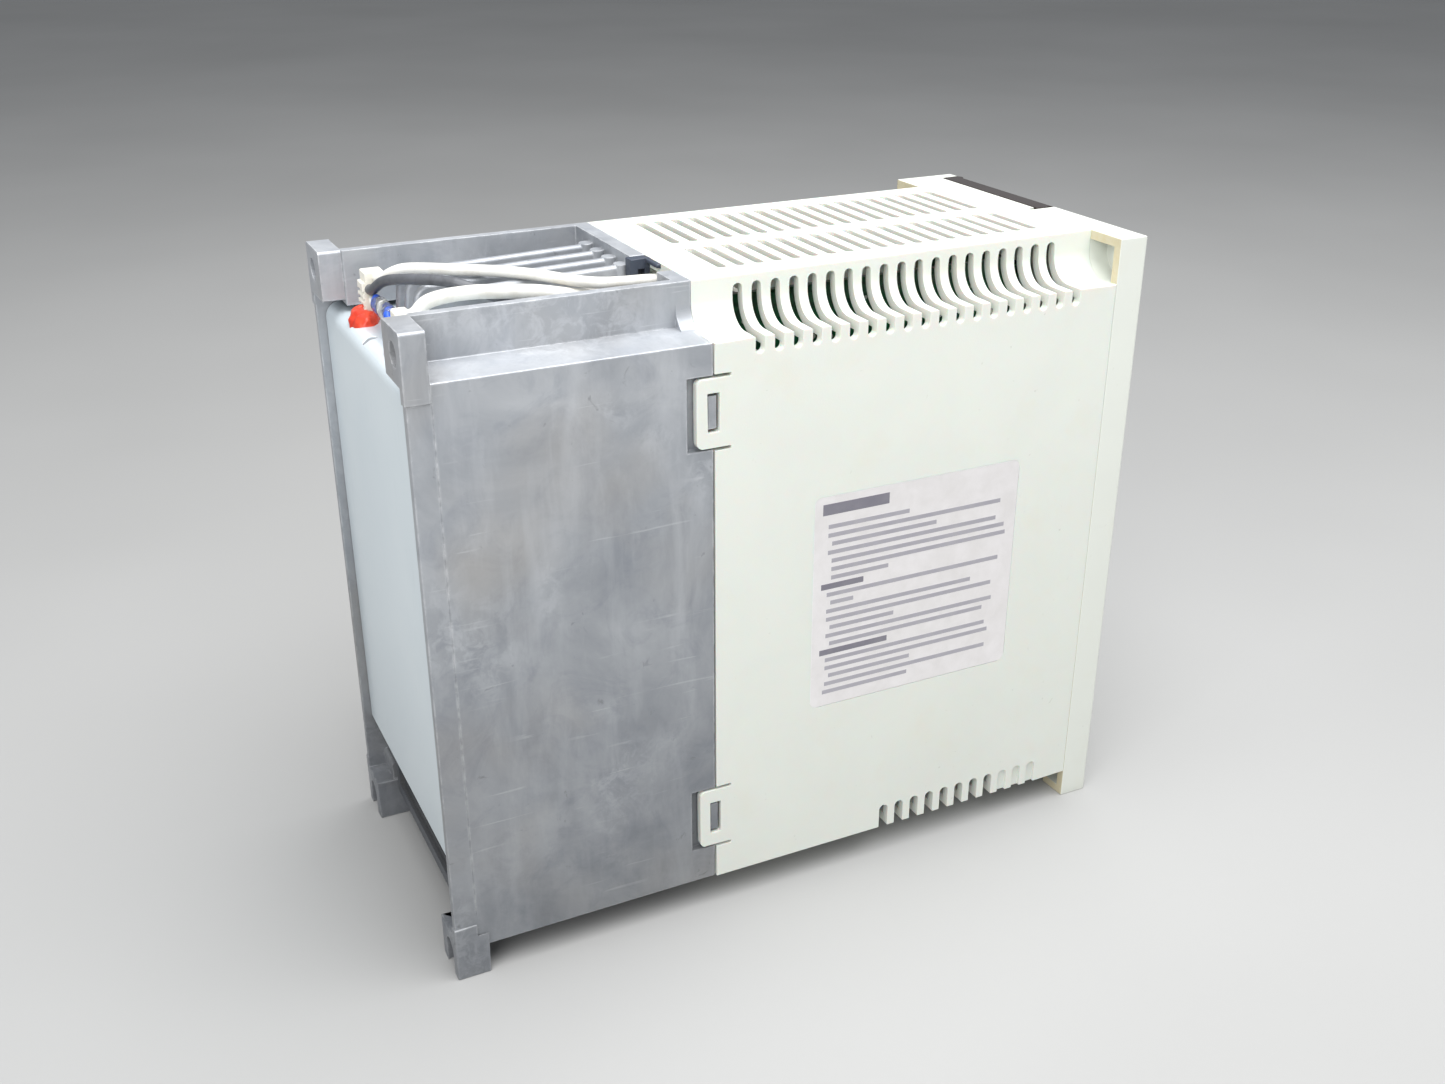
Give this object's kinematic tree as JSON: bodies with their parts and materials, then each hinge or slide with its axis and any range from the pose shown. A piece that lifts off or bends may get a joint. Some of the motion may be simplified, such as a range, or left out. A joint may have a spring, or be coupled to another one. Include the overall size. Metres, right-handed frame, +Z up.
{
  "type": "variable frequency drive",
  "caption": "Narrow panel-mount motor drive with a plastic case, a die-cast heat sink, a braking resistor, a fan, a display door and a terminal cover.",
  "frame": {"origin": "below the middle of the body, on the plane of its feet", "axes": "+X to the right seen from the front, +Y from the front face to the mounting plane, +Z up"},
  "size_m": [0.09, 0.195, 0.168],
  "materials": {
    "cast_aluminium": "die cast, lightly stained",
    "resistor_sheet": "smooth semi-gloss sheet",
    "resistor_cement": "cast cement",
    "ivory_ceramic": "unglazed ceramic",
    "orange_silicone": "soft gloss",
    "white_insulation": "satin",
    "grey_insulation": "satin",
    "clear_sleeve": "translucent sleeve",
    "clip_plastic": "moulded nylon",
    "nylon": "moulded nylon",
    "fan_plastic": "glass-filled, fine texture",
    "tray_plastic": "glass-filled, fine texture",
    "stamped_steel": "bright zinc",
    "zinc_screws": "bright zinc",
    "case_plastic": "fine spark-eroded texture, slightly yellowed edges",
    "smoked_plastic": "polished smoked",
    "key_plastic": "satin",
    "display_face": "polished filter",
    "circuit_board": "solder mask",
    "socket_plastic": "satin",
    "lamp_red": "diffused",
    "label_foil": "silver-grey film",
    "capacitor_sleeve": "shrink sleeve",
    "module_resin": "filled resin",
    "transformer_tape": "polyester tape",
    "relay_case": "moulded",
    "brass_pillar": "turned",
    "terminal_plastic": "moulded phenolic"
  },
  "bodies": {
    "drive_body": {"heat_sink": "cast_aluminium", "resistor_can": "resistor_sheet", "resistor_core": "resistor_cement", "ceramic_terminals": "ivory_ceramic", "silicone_sealant": "orange_silicone", "thermal_fuse": "clear_sleeve", "upper_white_lead": "white_insulation", "lower_white_lead": "white_insulation", "grey_lead": "grey_insulation", "cable_clip": "clip_plastic", "lead_plug": "nylon", "fan_tray": "tray_plastic", "fan_frame": "fan_plastic", "fan_guard": "stamped_steel", "fan_screws": "zinc_screws", "case_shell": "case_plastic", "side_label": "label_foil", "rating_plate": "label_foil", "front_panel": "case_plastic", "key_switches": "relay_case", "display_module": "display_face", "display_board": "circuit_board", "signal_sockets": "socket_plastic", "socket_board": "circuit_board", "charge_lamp": "lamp_red", "power_module": "module_resin", "module_screws": "zinc_screws", "board_standoffs": "brass_pillar", "power_board": "circuit_board", "bus_capacitors": "capacitor_sleeve", "supply_transformer": "transformer_tape", "inrush_relay": "relay_case", "control_board": "circuit_board", "control_board_posts": "nylon", "board_screws": "zinc_screws", "terminal_block": "terminal_plastic", "terminal_screws": "zinc_screws"},
    "display_door": {"display_door": "smoked_plastic"},
    "terminal_cover": {"terminal_cover": "case_plastic"},
    "fan_rotor": {"fan_rotor": "fan_plastic"},
    "mode_key": {"mode_key": "key_plastic"},
    "up_key": {"up_key": "key_plastic"},
    "down_key": {"down_key": "key_plastic"},
    "set_key": {"set_key": "key_plastic"}
  },
  "joints": [
    {"name": "display_door_hinge", "type": "hinge", "parent": "drive_body", "child": "display_door", "pos_m": [0.0394, -0.0959, 0.14], "axis": [0, 0, 1], "range_deg": [0, 100]},
    {"name": "terminal_cover_hinge", "type": "hinge", "parent": "drive_body", "child": "terminal_cover", "pos_m": [0, -0.0959, 0.0083], "axis": [1, 0, 0], "range_deg": [0, 95]},
    {"name": "fan_spin", "type": "hinge", "parent": "drive_body", "child": "fan_rotor", "pos_m": [0, 0.0606, 0.0195], "axis": [0, 0, 1], "continuous": true},
    {"name": "mode_key_press", "type": "slide", "parent": "drive_body", "child": "mode_key", "axis": [0, 1, 0], "range_m": [0, 0.0006], "stiffness_N_per_m": 400, "springref_m": -0.0004},
    {"name": "up_key_press", "type": "slide", "parent": "drive_body", "child": "up_key", "axis": [0, 1, 0], "range_m": [0, 0.0006], "stiffness_N_per_m": 400, "springref_m": -0.0004},
    {"name": "down_key_press", "type": "slide", "parent": "drive_body", "child": "down_key", "axis": [0, 1, 0], "range_m": [0, 0.0006], "stiffness_N_per_m": 400, "springref_m": -0.0004},
    {"name": "set_key_press", "type": "slide", "parent": "drive_body", "child": "set_key", "axis": [0, 1, 0], "range_m": [0, 0.0006], "stiffness_N_per_m": 400, "springref_m": -0.0004}
  ]
}
